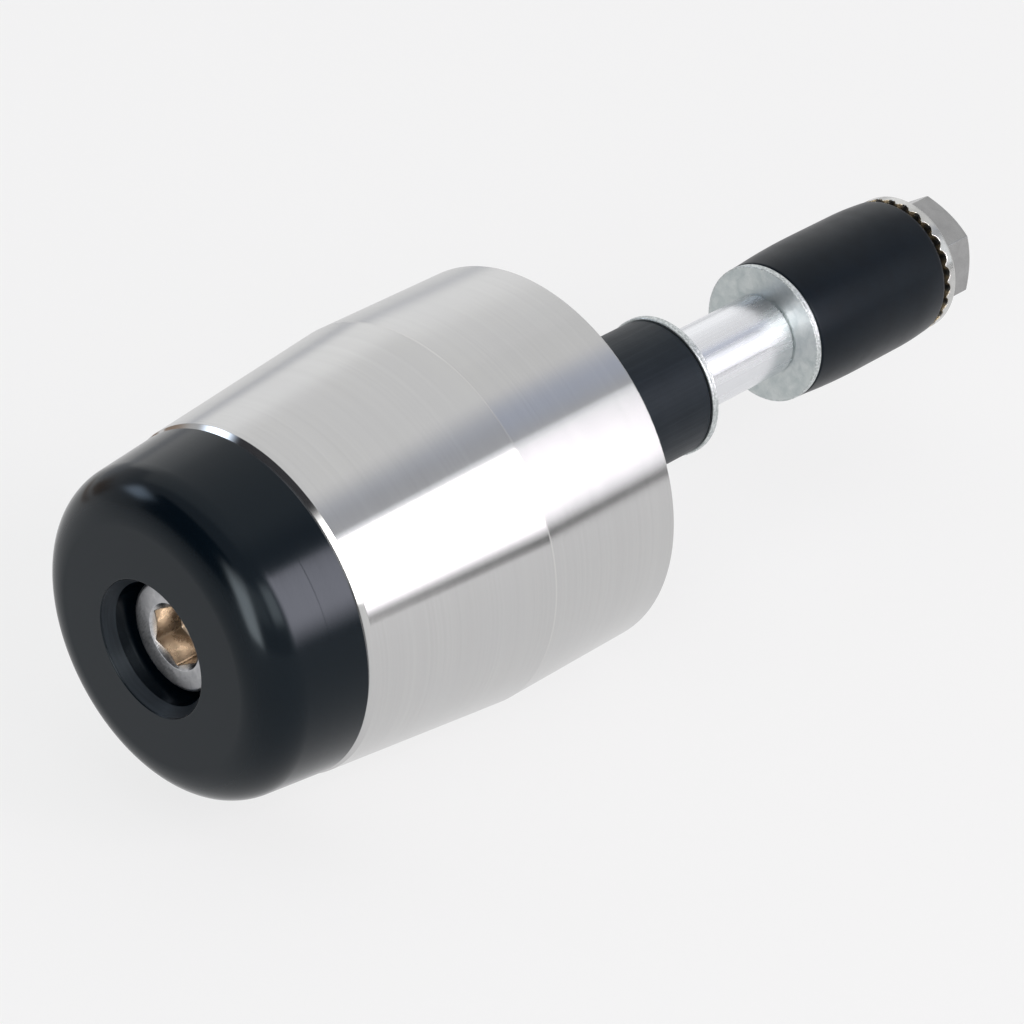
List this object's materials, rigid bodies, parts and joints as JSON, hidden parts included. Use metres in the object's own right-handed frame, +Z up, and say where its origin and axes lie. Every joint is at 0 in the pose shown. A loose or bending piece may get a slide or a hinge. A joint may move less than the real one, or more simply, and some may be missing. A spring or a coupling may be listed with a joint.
{
  "type": "handlebar end weight",
  "caption": "Steel bar end weight with a tapered nose, a black cap and a clamp screw that squeezes a rubber expander in the bore of a motorcycle handlebar.",
  "frame": {"origin": "on the axis, in the weight's inboard face, where the end of the handlebar butts", "axes": "+Y along the axis into the bar, towards the nut; the cap faces -Y; +Z up, as the part sits in a level bar"},
  "size_m": [0.036, 0.1036, 0.036],
  "materials": {
    "cap_plastic": "satin black, fine turned",
    "weight_steel": "fine turned, lightly polished",
    "screw_steel": "zinc plated",
    "black_rubber": "smooth moulded",
    "washer_steel": "zinc plated, mottled",
    "spacer_aluminium": "bright drawn",
    "nut_steel": "bright, cold formed"
  },
  "bodies": {
    "root": {"end_cap": "cap_plastic", "weight_body": "weight_steel", "clamp_screw": "screw_steel", "rubber_bush": "black_rubber", "inner_washer": "washer_steel", "spacer_tube": "spacer_aluminium", "outer_washer": "washer_steel", "rubber_expander": "black_rubber", "flange_nut": "nut_steel"}
  },
  "joints": []
}
